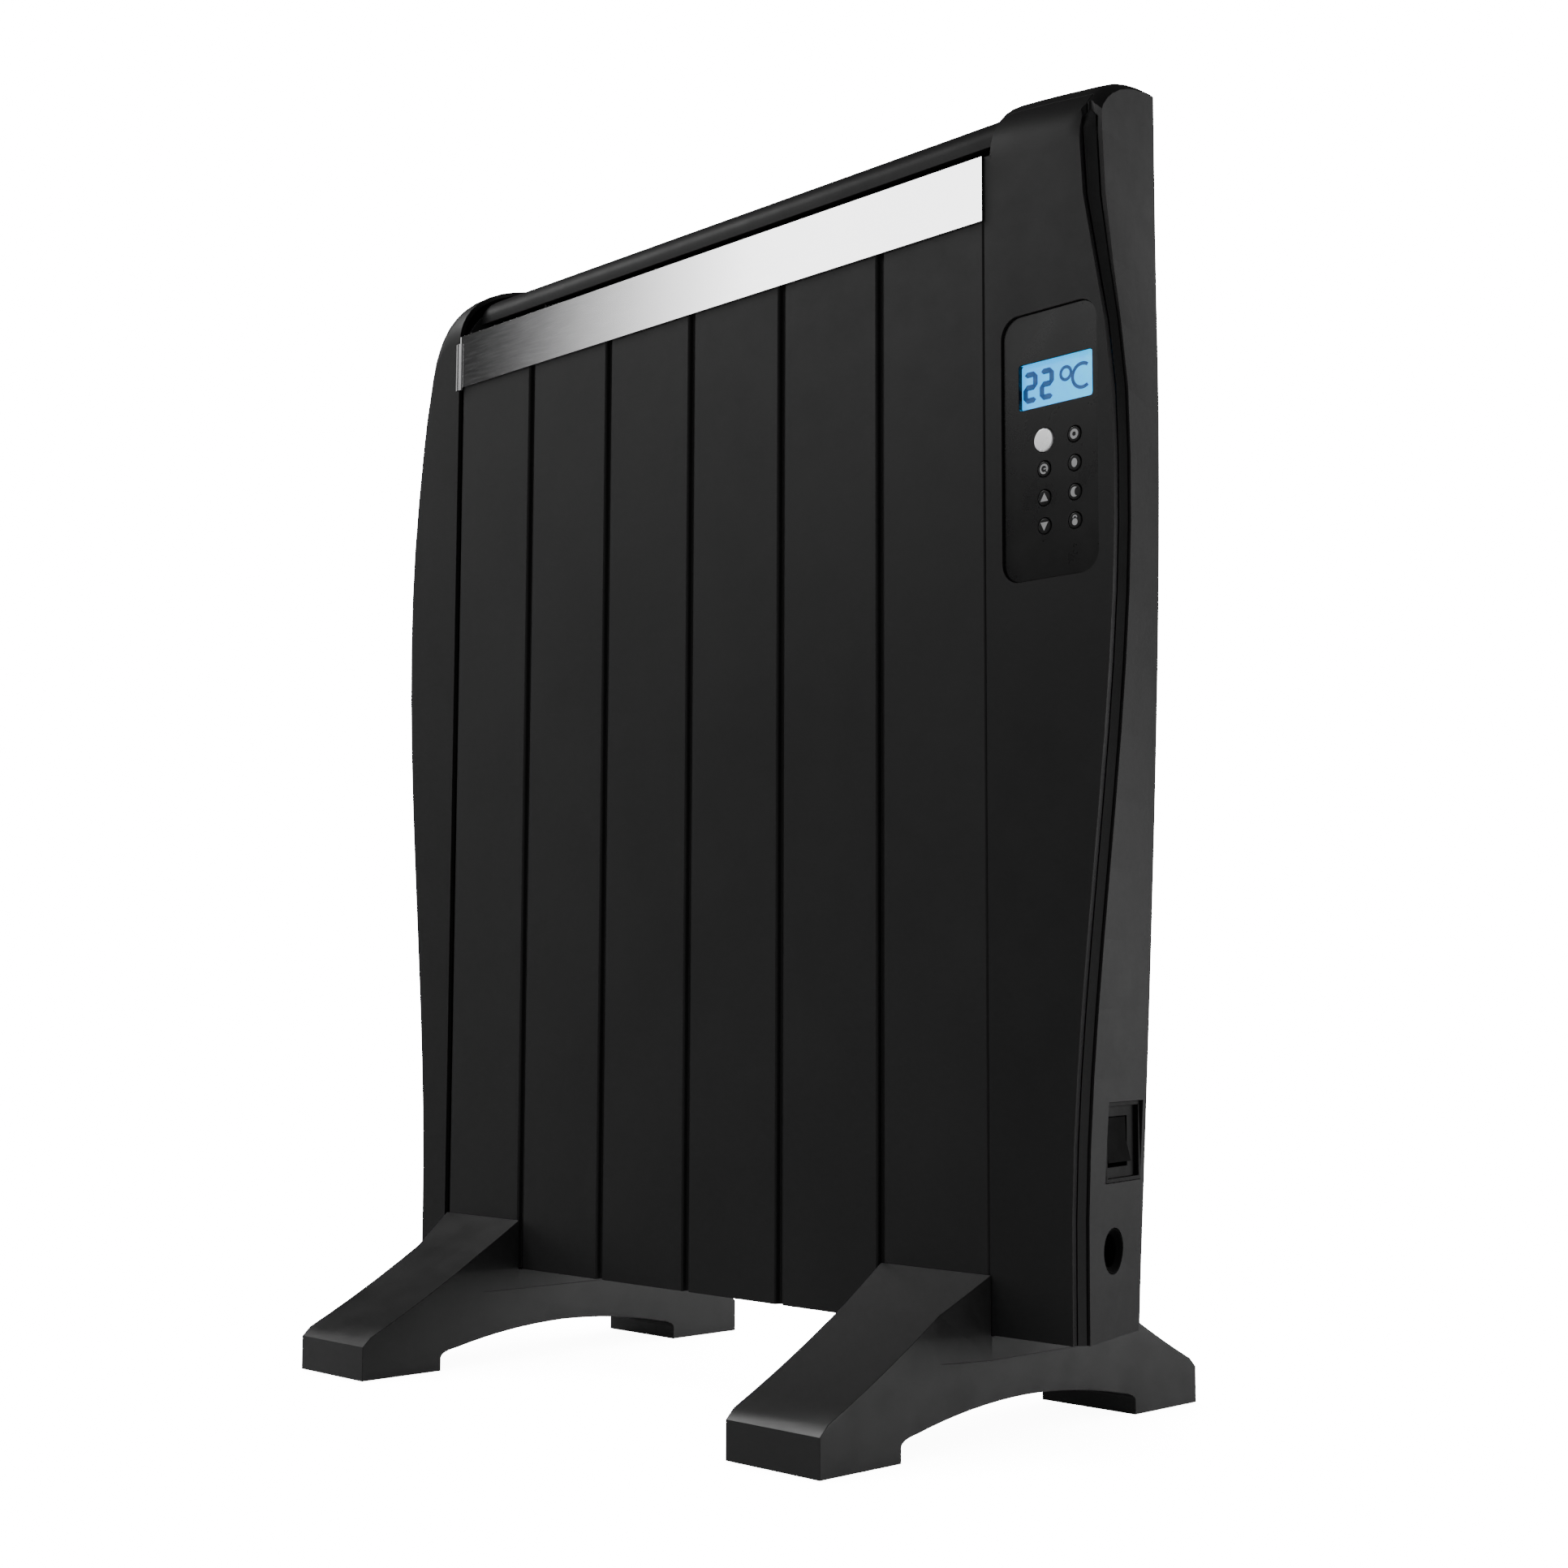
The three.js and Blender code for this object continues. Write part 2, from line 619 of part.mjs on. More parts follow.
function makeControlPanel() {
  const face = FRONT + FASCIA_RECESS;
  const back = face + FASCIA_THICKNESS;
  const outline = roundedRectangle(fromSeam(FASCIA), -GAP);
  let fascia = solid(prismY(outline, face, back, 5));
  fascia = cut(fascia, solid(prismY(roundedRectangle(fromSeam(WINDOW)), face - 1, back + 1, 2)));
  const buttons = [
    POWER_BUTTON,
    ...KEYS.map(([name, x, z]) => ({ name, x, z, radius: KEY_RADIUS, proud: KEY_PROUD })),
  ];
  for (const { name, x, z, radius, proud } of buttons) {
    const cx = RIGHT_SEAM + x;
    fascia = cut(fascia, solid(barY(radius + GAP, cx, z, face - 1, back + 1, 16)));
    const dome = 0.35;
    const profile = [
      [0, FRONT + BUTTON_BACK],
      [radius, FRONT + BUTTON_BACK],
      [radius, face - proud + dome],
      [radius - dome, face - proud],
      [0, face - proud],
    ].map(([r, y]) => new THREE.Vector2(r, -y));
    const button = new THREE.LatheGeometry(profile, 16).rotateX(Math.PI);
    const key = add(name, button, name === "power_button" ? LIGHT_KEY() : GLOSS_BLACK());
    key.position.set(cx, 0, z);
  }
  add("control_fascia", fascia, GLOSS_BLACK());
  const paneFace = face + 0.1;
  const pane = prismY(roundedRectangle(fromSeam(WINDOW), -0.25), paneFace, paneFace + WINDOW_THICKNESS, 2);
  add("display_window", solid(pane), paint(0x8fd0f0, 0.1, 0));
  const moduleX = [RIGHT_SEAM + WINDOW.left - 2.5, RIGHT_SEAM + WINDOW.right + 2.5];
  const moduleZ = [WINDOW.bottom - 4, WINDOW.top + 4];
  add("display_module", boxGeometry(moduleX, [back + GAP, back + 4], moduleZ), paint(0x55b7e6, 0.4, 0));
  const boardX = [RIGHT_SEAM + FASCIA.left + 2, RIGHT_SEAM + FASCIA.right - 2];
  let board = box(boardX, [FRONT + 8, FRONT + 9.6], [FASCIA.bottom + 4, FASCIA.top - 4]);
  for (const { x, z } of buttons) {
    const cx = RIGHT_SEAM + x;
    board = join(board, box([cx - 2.5, cx + 2.5], [FRONT + 7, FRONT + 8.5], [z - 2.5, z + 2.5]));
  }
  add("control_board", board, BOARD_GREEN());
}

function makeElectrics() {
  const x = (u) => RIGHT_SEAM + u;
  add("power_board", boxGeometry([x(6), x(36)], [4, 5.6], [175, 300]), BOARD_GREEN());
  add("relay", boxGeometry([x(11), x(27)], [-12, 3.7], [240, 262]), paint(0x2a5fb0, 0.5, 0));
  let block = box([x(7), x(31)], [-7, 7], [148, 162]);
  for (let i = 0; i < 3; i++) {
    block = cut(block, solid(barY(2.2, x(11 + 8 * i), 155, -8, -3, 12)));
  }
  add("terminal_block", block, paint(0xdcdcd4, 0.5, 0));
  add("thermal_cutout", barX(8, 0, 490, x(2.2), x(8.4), 16), ZINC());
  add("room_sensor", barZ(2.5, x(22), -10, 49, 64, 12), paint(0x1a1a1a, 0.6, 0));
}

// ---------------------------------------------------------------- switch and cable inlet

// A frame on the right-hand side face: +X out of the face, +Y along it towards the back.
function sideFrame(y, z) {
  const width = (v) => capWidth(RIGHT_CAP, v, z);
  const angle = Math.atan2(width(y - 5) - width(y + 5), 10);
  const matrix = new THREE.Matrix4().makeRotationZ(angle);
  return matrix.setPosition(RIGHT_SEAM + width(y), y, z);
}

function switchHousing(frame) {
  const halfWidth = SWITCH_WIDTH / 2 - GAP;
  const halfHeight = SWITCH_HEIGHT / 2 - GAP;
  const rim = 1.6;
  const floor = -2.6;
  const rockerY = [ROCKER_OFFSET - ROCKER_WIDTH / 2 - GAP, ROCKER_OFFSET + ROCKER_WIDTH / 2 + GAP];
  const rockerZ = ROCKER_HEIGHT / 2 + 1.1;
  const tray = box([-7.5, -0.6], [-halfWidth, halfWidth], [-halfHeight, halfHeight]);
  const pocket = box([floor, 1], [-halfWidth + rim, halfWidth - rim], [-halfHeight + rim, halfHeight - rim]);
  const body = box([-21, -7], [rockerY[0] - 1.5, rockerY[1] + 1.5], [-rockerZ - 1.5, rockerZ + 1.5]);
  const well = box([-19.5, 0], rockerY, [-rockerZ, rockerZ]);
  const made = cut(join(tray, body), pocket, well);
  return solid(geometryOf(made).applyMatrix4(frame));
}

// The rocker's side outline, tilted about its pivot, and extruded along the face.
function rocker(frame) {
  const h = ROCKER_HEIGHT / 2;
  const outline = polygon([
    [-1.6, -h],
    [-2.6, 0],
    [-1.6, h],
    [-8, h],
    [-14, 4],
    [-14, -4],
    [-8, -h],
  ]);
  const geometry = prismY(outline, ROCKER_OFFSET - ROCKER_WIDTH / 2, ROCKER_OFFSET + ROCKER_WIDTH / 2);
  geometry.translate(-ROCKER_PIVOT, 0, 0);
  geometry.rotateY(THREE.MathUtils.degToRad(-ROCKER_TILT));
  geometry.translate(ROCKER_PIVOT, 0, 0);
  return geometry.applyMatrix4(frame);
}

// Round inlet bush with a funnel mouth and a collar behind the wall, turned about the face's normal.
function glandBush(frame) {
  const profile = [
    [GLAND_BORE, -14],
    [GLAND_BODY, -14],
    [GLAND_BODY, -5.2],
    [12, -5.2],
    [12, -3.2],
    [GLAND_BODY, -3.2],
    [GLAND_BODY, -0.2],
    [GLAND_BODY - 0.4, -0.2],
    [GLAND_BORE, -2.4],
    [GLAND_BORE, -14],
  ].map(([r, x]) => new THREE.Vector2(r, x));
  const bush = new THREE.LatheGeometry(profile, 24).rotateZ(-Math.PI / 2);
  return bush.applyMatrix4(frame);
}

// ---------------------------------------------------------------- feet and fasteners

const COVER_SCREW_Z = [84, 532];
const coverScrewReach = (cap) => (cap.side > 0 ? 12 : 6.4);
const footScrewX = (cap) => cap.seam - (cap.side * (FOOT_INNER + FOOT_OUTER)) / 2;

// The foot's side outline: ramps up to the panel's front and back, an arch below, and flat pads at the ends.
function footOutline() {
  const shape = new THREE.Shape();
  shape.moveTo(-FOOT_HALF, 0);
  shape.lineTo(-76.9, 0);
  shape.lineTo(-76.9, 6.4);
  shape.quadraticCurveTo(-76.5, 9.2, -67.3, 10.4);
  shape.quadraticCurveTo(-34, 17.6, 0, 17.8);
  shape.quadraticCurveTo(34, 17.6, 67.3, 10.4);
  shape.quadraticCurveTo(76.5, 9.2, 76.9, 6.4);
  shape.lineTo(76.9, 0);
  shape.lineTo(FOOT_HALF, 0);
  shape.lineTo(FOOT_HALF, 16.2);
  shape.lineTo(118.5, 20.5);
  shape.quadraticCurveTo(78, 39.5, -FRONT + GAP, FOOT_RAMP_TOP);
  shape.lineTo(-FRONT + GAP, FOOT_TOP);
  shape.lineTo(FRONT - GAP, FOOT_TOP);
  shape.lineTo(FRONT - GAP, FOOT_RAMP_TOP);
  shape.quadraticCurveTo(-78, 39.5, -118.5, 20.5);
  shape.lineTo(-FOOT_HALF, 16.2);
  return shape;
}

function makeFoot(cap) {
  const from = (u) => cap.seam - cap.side * u;
  const profile = solid(prismX(footOutline(), ...[from(-5), from(70)].sort((p, q) => p - q)));
  const straight = solid(
    boxGeometry([from(FOOT_OUTER), from(FOOT_INNER)].sort((p, q) => p - q), [-130, 130], [-1, 90]),
  );
  const flareFrom = FOOT_FLARE_FROM;
  const flared = prismZ(
    polygon([
      [from(FOOT_OUTER), -flareFrom],
      [from(FOOT_INNER), -flareFrom],
      [from(FOOT_FLARE_INNER), FRONT],
      [from(FOOT_FLARE_INNER), BACK],
      [from(FOOT_INNER), flareFrom],
      [from(FOOT_OUTER), flareFrom],
      [from(FOOT_FLARE_OUTER), BACK],
      [from(FOOT_FLARE_OUTER), FRONT],
    ]),
    FOOT_FLARE_BOTTOM,
    90,
  );
  let foot = profile.intersect(join(straight, solid(flared)));
  for (const y of [-FOOT_SCREW_Y, FOOT_SCREW_Y]) {
    const x = footScrewX(cap);
    foot = cut(foot, solid(barZ(2.4, x, y, 0, 60)), solid(barZ(5, x, y, 0, 31)));
  }
  return foot;
}

function screwProfile(headRadius, headHeight, shaftRadius, shaftLength) {
  return [
    [0, 0],
    [headRadius - 0.6, 0],
    [headRadius, 0.8],
    [headRadius, headHeight],
    [shaftRadius, headHeight],
    [shaftRadius, headHeight + shaftLength],
    [0, headHeight + shaftLength],
  ].map(([r, z]) => new THREE.Vector2(r, z));
}

function makeFasteners() {
  for (const [name, cap] of [["left", LEFT_CAP], ["right", RIGHT_CAP]]) {
    for (const [end, y] of [["front", -FOOT_SCREW_Y], ["rear", FOOT_SCREW_Y]]) {
      const screw = new THREE.LatheGeometry(screwProfile(4.2, 3, 1.9, 24), 10).rotateX(Math.PI / 2);
      add(`${name}_foot_screw_${end}`, screw, ZINC()).position.set(footScrewX(cap), y, 27.7);
    }
    for (const [end, z] of [["lower", COVER_SCREW_Z[0]], ["upper", COVER_SCREW_Z[1]]]) {
      const screw = new THREE.LatheGeometry(screwProfile(3.4, 2, 1.4, 9), 10).rotateX(Math.PI);
      const x = cap.seam + cap.side * coverScrewReach(cap);
      add(`${name}_cover_screw_${end}`, screw, ZINC()).position.set(x, BACK + GAP + 2, z);
    }
  }
}

// ---------------------------------------------------------------- assembly

function makeCaps() {
  const switchFrame = sideFrame(SWITCH_Y, SWITCH_Z);
  const glandFrame = sideFrame(GLAND_Y, GLAND_Z);
  for (const [name, cap] of [["left", LEFT_CAP], ["right", RIGHT_CAP]]) {
    let { front, side, strip } = makeCapCovers(cap);
    for (const z of COVER_SCREW_Z) {
      side = cut(side, solid(barY(1.7, cap.seam + cap.side * coverScrewReach(cap), z, 20, 35)));
    }
    if (name === "right") {
      const lip = box([cap.seam - 1.4, cap.seam + 2.5], [FRONT, FRONT + WALL], [BODY_BOTTOM, TOP_START + 2]);
      const opening = prismY(roundedRectangle(fromSeam(FASCIA)), FRONT - 2, FRONT + 5, 5);
      front = cut(join(front, lip), solid(opening));
      const halfWidth = SWITCH_WIDTH / 2;
      const halfHeight = SWITCH_HEIGHT / 2;
      const room = boxGeometry([-8, 4], [-halfWidth, halfWidth], [-halfHeight, halfHeight]);
      const inlet = barX(GLAND_BODY + GAP, 0, 0, -5, 4, 24);
      side = cut(side, solid(room.applyMatrix4(switchFrame)), solid(inlet.applyMatrix4(glandFrame)));
    }
    add(`${name}_front_cover`, front, BLACK_PLASTIC());
    add(`${name}_side_cover`, side, BLACK_PLASTIC());
    add(`${name}_trim_strip`, strip, BLACK_PLASTIC());
    add(`${name}_end_bracket`, makeBracket(cap), ZINC());
    add(`${name}_foot`, makeFoot(cap), GREY_PLASTIC());
  }
  add("switch_housing", switchHousing(switchFrame), BLACK_PLASTIC());
  add("rocker", rocker(switchFrame), GLOSS_BLACK());
  add("cable_gland", glandBush(glandFrame), BLACK_PLASTIC());
}

makeElements();
makeHeatingRods();
makeBand();
makeOutletRail();
makeTieBars();
makeLoom();
makeCaps();
makeControlPanel();
makeElectrics();
makeFasteners();

export default model;
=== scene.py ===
import math
import bpy
import bmesh
from mathutils import Matrix, Vector


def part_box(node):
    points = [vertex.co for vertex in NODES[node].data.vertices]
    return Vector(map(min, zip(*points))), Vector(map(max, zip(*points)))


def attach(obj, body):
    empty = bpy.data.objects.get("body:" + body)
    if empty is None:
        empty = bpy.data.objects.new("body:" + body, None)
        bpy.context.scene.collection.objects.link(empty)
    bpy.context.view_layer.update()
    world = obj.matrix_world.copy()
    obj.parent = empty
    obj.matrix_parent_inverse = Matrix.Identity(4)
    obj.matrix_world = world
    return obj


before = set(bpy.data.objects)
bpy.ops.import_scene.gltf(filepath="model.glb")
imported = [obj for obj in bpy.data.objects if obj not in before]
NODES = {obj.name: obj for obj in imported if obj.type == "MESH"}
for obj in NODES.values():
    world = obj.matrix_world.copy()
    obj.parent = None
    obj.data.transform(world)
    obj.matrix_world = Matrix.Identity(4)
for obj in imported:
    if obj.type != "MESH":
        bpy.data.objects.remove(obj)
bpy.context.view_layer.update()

MM = 0.001

# ---------------------------------------------------------------- camera

CAMERA_AT = Vector((0.7836, -0.7480, 0.1830))
YAW, PITCH, ROLL = (math.radians(a) for a in (45.49, 5.52, 0.18))
LENS = 51.364
FILM_WIDTH = 36


def make_camera():
    level = Vector((-math.sin(YAW), math.cos(YAW), 0))
    ahead = level * math.cos(PITCH) + Vector((0, 0, math.sin(PITCH)))
    right = Vector((math.cos(YAW), math.sin(YAW), 0))
    up = right.cross(ahead)
    across = right * math.cos(ROLL) + up * math.sin(ROLL)
    upwards = up * math.cos(ROLL) - right * math.sin(ROLL)
    data = bpy.data.cameras.new("camera")
    data.lens = LENS
    data.sensor_width = FILM_WIDTH
    data.clip_start, data.clip_end = 0.01, 50
    camera = bpy.data.objects.new("camera", data)
    bpy.context.scene.collection.objects.link(camera)
    camera.matrix_world = Matrix.Translation(CAMERA_AT) @ Matrix(
        [[across[i], upwards[i], -ahead[i]] for i in range(3)]).to_4x4()
    bpy.context.scene.camera = camera


make_camera()

# ---------------------------------------------------------------- materials


class Nodes:
    """A material's node tree, with short calls to add and link nodes."""

    def __init__(self, name):
        self.material = bpy.data.materials.new(name)
        self.material.use_nodes = True
        self.tree = self.material.node_tree
        self.shader = self.tree.nodes["Principled BSDF"]
        self.place = self.tree.nodes.new("ShaderNodeTexCoord").outputs["Object"]

    def new(self, kind, inputs=None, **settings):
        node = self.tree.nodes.new(kind)
        for key, value in settings.items():
            setattr(node, key, value)
        for key, value in (inputs or {}).items():
            if isinstance(value, bpy.types.NodeSocket):
                self.tree.links.new(value, node.inputs[key])
            else:
                node.inputs[key].default_value = value
        return node

    def set(self, **values):
        for key, value in values.items():
            socket = self.shader.inputs[key.replace("_", " ")]
            if isinstance(value, bpy.types.NodeSocket):
                self.tree.links.new(value, socket)
            else:
                socket.default_value = value

    def noise(self, scale, detail=3.0, roughness=0.5, stretch=(1, 1, 1)):
        place = self.place
        if stretch != (1, 1, 1):
            place = self.new("ShaderNodeMapping", {"Vector": place, "Scale": stretch}).outputs[0]
        inputs = {"Vector": place, "Scale": scale, "Detail": detail, "Roughness": roughness}
        return self.new("ShaderNodeTexNoise", inputs).outputs["Fac"]

    def ramp(self, value, low, high):
        """A value from 0.35 to 0.65 spread from low to high, as numbers or colours."""
        if isinstance(low, (int, float)):
            inputs = {"Value": value, "From Min": 0.35, "From Max": 0.65, "To Min": low, "To Max": high}
            return self.new("ShaderNodeMapRange", inputs).outputs[0]
        factor = self.ramp(value, 0.0, 1.0)
        mix = self.new("ShaderNodeMix", data_type="RGBA")
        self.tree.links.new(factor, mix.inputs["Factor"])
        mix.inputs["A"].default_value = (*low, 1)
        mix.inputs["B"].default_value = (*high, 1)
        return mix.outputs["Result"]

    def bump(self, height, strength, distance):
        inputs = {"Height": height, "Strength": strength, "Distance": distance}
        return self.new("ShaderNodeBump", inputs).outputs[0]


GRAIN_DEPTH = 0.00005


def grey(value):
    return (value, value, value * 1.01)


def surface(name, low, high, rough, grain=900, bump=0.15, metallic=0.0, specular=0.5, stretch=(1, 1, 1)):
    """A moulded, coated or metal surface: mottled colour, uneven gloss and a fine grain."""
    n = Nodes(name)
    cloud = n.noise(14, 4.0, 0.55)
    fine = n.noise(grain, 2.0, 0.6, stretch)
    gloss = n.noise(60, 5.0, 0.6, stretch)
    n.set(Base_Color=n.ramp(cloud, low, high), Roughness=n.ramp(gloss, rough[0], rough[1]),
          Metallic=metallic, Normal=n.bump(fine, bump, GRAIN_DEPTH))
    n.shader.inputs["Specular IOR Level"].default_value = specular
    return n.material


def black(name, low, high, rough, grain, bump, specular):
    """A near-black surface, given by its darkest and lightest grey."""
    return surface(name, grey(low), grey(high), rough, grain, bump, specular=specular)


POWDER = black("powder_coat", 0.015, 0.018, (0.46, 0.52), 1500, 0.2, 0.15)
CAP_PLASTIC = black("cap_plastic", 0.013, 0.0155, (0.42, 0.48), 2200, 0.15, 0.13)
STRIP_PLASTIC = black("strip_plastic", 0.016, 0.02, (0.3, 0.36), 2200, 0.1, 0.4)
FOOT_PLASTIC = black("foot_plastic", 0.018, 0.021, (0.30, 0.36), 1600, 0.2, 0.28)
GLOSS = black("gloss_black", 0.005, 0.006, (0.26, 0.32), 300, 0.01, 0.15)
TRAY = black("tray_black", 0.005, 0.007, (0.5, 0.6), 2200, 0.2, 0.08)
BUSH = black("bush_black", 0.002, 0.003, (0.6, 0.7), 2200, 0.2, 0.03)
RAIL_COAT = black("rail_coat", 0.013, 0.016, (0.46, 0.52), 1500, 0.2, 0.08)
ICON = surface("icon_print", grey(0.34), grey(0.40), (0.4, 0.5), 2500, 0.05)
CHROME = surface("chrome", grey(0.78), grey(0.82), (0.07, 0.1), 700, 0.01, 1.0, stretch=(1, 1, 12))
DARK_CHROME = surface("dark_chrome", grey(0.16), grey(0.19), (0.2, 0.26), 700, 0.02, 1.0)
SILVER = surface("silver_lacquer", grey(0.72), grey(0.78), (0.22, 0.3), 2500, 0.05, 0.6)
ZINC = surface("zinc_plate", (0.42, 0.42, 0.40), (0.50, 0.50, 0.49), (0.3, 0.42), 500, 0.08, 0.9)
STEEL = surface("bracket_steel", grey(0.03), grey(0.045), (0.5, 0.6), metallic=0.3)
LOOM = surface("loom_sleeve", grey(0.03), grey(0.06), (0.7, 0.8), 1500, 0.8, stretch=(0.3, 1, 1))
BOARD = surface("circuit_board", (0.01, 0.08, 0.03), (0.015, 0.11, 0.045), (0.3, 0.4), 600, 0.2)
RELAY = surface("relay_case", (0.02, 0.06, 0.25), (0.03, 0.08, 0.3), (0.35, 0.45))
NYLON = surface("white_nylon", grey(0.6), grey(0.68), (0.45, 0.55))


def ink():
    """Dark blue print on the display, with a little of its glow."""
    material = surface("display_ink", (0.01, 0.07, 0.22), (0.013, 0.08, 0.25), (0.4, 0.5), 2500, 0.05)
    inputs = material.node_tree.nodes["Principled BSDF"].inputs
    inputs["Emission Color"].default_value = (0.02, 0.13, 0.42, 1)
    inputs["Emission Strength"].default_value = 0.35
    return material


DISPLAY_GLOW = 1.8


def lcd():
    """Blue back-lit display, paler towards its right; only its front face glows."""
    n = Nodes("lit_display")
    spot = n.tree.nodes["Texture Coordinate"].outputs["Generated"]
    across = n.new("ShaderNodeSeparateXYZ", {0: spot}).outputs["X"]
    mottled = n.new("ShaderNodeMath", {0: across, 1: n.noise(200)}, operation="MULTIPLY").outputs[0]
    mix = n.new("ShaderNodeMix", data_type="RGBA")
    n.tree.links.new(mottled, mix.inputs["Factor"])
    mix.inputs["A"].default_value = (0.0, 0.42, 1.0, 1)
    mix.inputs["B"].default_value = (0.0, 0.66, 1.0, 1)
    normal = n.new("ShaderNodeNewGeometry").outputs["Normal"]
    facing = n.new("ShaderNodeSeparateXYZ", {0: normal}).outputs["Y"]
    front = n.new("ShaderNodeMath", {0: facing, 1: -0.5}, operation="LESS_THAN").outputs[0]
    glow = n.new("ShaderNodeMath", {0: front, 1: DISPLAY_GLOW}, operation="MULTIPLY").outputs[0]
    n.set(Base_Color=(0.01, 0.08, 0.16, 1), Roughness=0.3, Emission_Color=mix.outputs["Result"],
          Emission_Strength=glow)
    return n.material


def pane():
    """The clear, faintly blue cover of the display."""
    n = Nodes("clear_pane")
    tint = n.ramp(n.noise(50), (0.85, 0.95, 1.0), (0.9, 0.97, 1.0))
    n.set(Base_Color=tint, Roughness=n.ramp(n.noise(90), 0.02, 0.05))
    n.shader.inputs["Transmission Weight"].default_value = 1.0
    n.shader.inputs["IOR"].default_value = 1.04
    n.shader.inputs["Specular IOR Level"].default_value = 0.1
    return n.material


INK = ink()
LCD = lcd()
PANE = pane()

# ---------------------------------------------------------------- smoothing

WELD_DISTANCE = 0.00001
BEVEL_SEGMENTS = 3
BEVEL_ANGLE = 35
SMOOTH_ANGLE = 32


def smooth_group():
    """Geometry nodes that shade smooth, apart from edges sharper than an angle."""
    group = bpy.data.node_groups.new("smooth_by_angle", "GeometryNodeTree")
    group.interface.new_socket("Geometry", in_out="INPUT", socket_type="NodeSocketGeometry")
    group.interface.new_socket("Geometry", in_out="OUTPUT", socket_type="NodeSocketGeometry")
    new, link = group.nodes.new, group.links.new
    start, end = new("NodeGroupInput"), new("NodeGroupOutput")
    faces, edges = new("GeometryNodeSetShadeSmooth"), new("GeometryNodeSetShadeSmooth")
    faces.domain, edges.domain = "FACE", "EDGE"
    angle = new("GeometryNodeInputMeshEdgeAngle")
    compare = new("FunctionNodeCompare")
    compare.operation = "GREATER_THAN"
    compare.inputs["B"].default_value = math.radians(SMOOTH_ANGLE)
    link(angle.outputs["Unsigned Angle"], compare.inputs["A"])
    link(start.outputs[0], faces.inputs["Geometry"])
    link(faces.outputs[0], edges.inputs["Geometry"])
    link(compare.outputs[0], edges.inputs["Selection"])
    edges.inputs["Shade Smooth"].default_value = False
    link(edges.outputs[0], end.inputs[0])
    return group


SMOOTH = smooth_group()


def shade(obj):
    """Shades the faces smooth, and flat faces flat."""
    obj.modifiers.new("smooth", "NODES").node_group = SMOOTH
    flat = obj.modifiers.new("flat_faces", "WEIGHTED_NORMAL")
    flat.keep_sharp = True
    flat.weight = 100


def coat(name, material, bevel=0.0):
    """A CAD node keeps its shape, has its split vertices merged and its edges rounded, and takes a finish."""
    obj = NODES[name]
    obj.data.materials.clear()
    obj.data.materials.append(material)
    obj.modifiers.new("weld", "WELD").merge_threshold = WELD_DISTANCE
    if bevel:
        rounding = obj.modifiers.new("bevel", "BEVEL")
        rounding.width, rounding.segments = bevel, BEVEL_SEGMENTS
        rounding.limit_method, rounding.angle_limit = "ANGLE", math.radians(BEVEL_ANGLE)
        rounding.use_clamp_overlap = True
        rounding.miter_outer = "MITER_ARC"
    shade(obj)


for i in range(1, 7):
    coat(f"element_{i}", POWDER, 0.0004)
    coat(f"heating_rod_{i}", ZINC)
coat("top_band", CHROME, 0.0002)
coat("outlet_rail", RAIL_COAT, 0.0005)
for place in ("front_top", "rear_top", "front_bottom", "rear_bottom"):
    coat(f"{place}_tie_bar", ZINC, 0.0003)
coat("wiring_loom", LOOM)
for side in ("left", "right"):
    coat(f"{side}_front_cover", CAP_PLASTIC, 0.0005)
    coat(f"{side}_side_cover", CAP_PLASTIC, 0.0005)
    coat(f"{side}_trim_strip", STRIP_PLASTIC, 0.0004)
    coat(f"{side}_end_bracket", STEEL, 0.0002)
    coat(f"{side}_foot", FOOT_PLASTIC, 0.0012)
    for end in ("front", "rear"):
        coat(f"{side}_foot_screw_{end}", ZINC)
    for end in ("lower", "upper"):
        coat(f"{side}_cover_screw_{end}", ZINC)
coat("switch_housing", TRAY, 0.0004)
coat("rocker", BUSH, 0.0006)
coat("cable_gland", BUSH, 0.0003)
coat("control_fascia", GLOSS, 0.0003)
coat("display_window", PANE)
coat("display_module", LCD)
for key in ("timer", "mode", "window", "up", "down", "night", "lock"):
    coat(f"{key}_button", GLOSS, 0.0002)
coat("power_button", SILVER, 0.0002)
coat("control_board", BOARD, 0.0002)
coat("power_board", BOARD, 0.0002)
coat("relay", RELAY, 0.0005)
coat("terminal_block", NYLON, 0.0004)
coat("thermal_cutout", ZINC, 0.0004)
coat("room_sensor", TRAY)

# ---------------------------------------------------------------- display digits and key symbols

INK_DEPTH = 0.12 * MM
ICON_DEPTH = 0.05 * MM


def finish_piece(mesh, name, material, body):
    """Turns the faces outwards and makes the mesh a piece that rides on a body."""
    bmesh.ops.recalc_face_normals(mesh, faces=mesh.faces)
    data = bpy.data.meshes.new(name)
    mesh.to_mesh(data)
    mesh.free()
    data.materials.append(material)
    piece = bpy.data.objects.new(name, data)
    bpy.context.scene.collection.objects.link(piece)
    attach(piece, body)
    return piece


def plates(name, outlines, y, thickness, material, body):
    """Flat shapes facing the front, each a closed outline of X and Z in metres, as one piece."""
    mesh = bmesh.new()
    for outline in outlines:
        front = [mesh.verts.new((x, y - thickness, z)) for x, z in outline]
        back = [mesh.verts.new((x, y, z)) for x, z in outline]
        mesh.faces.new(front)
        mesh.faces.new(back[::-1])
        for i in range(len(outline)):
            j = (i + 1) % len(outline)
            mesh.faces.new((front[j], front[i], back[i], back[j]))
    finish_piece(mesh, name, material, body)


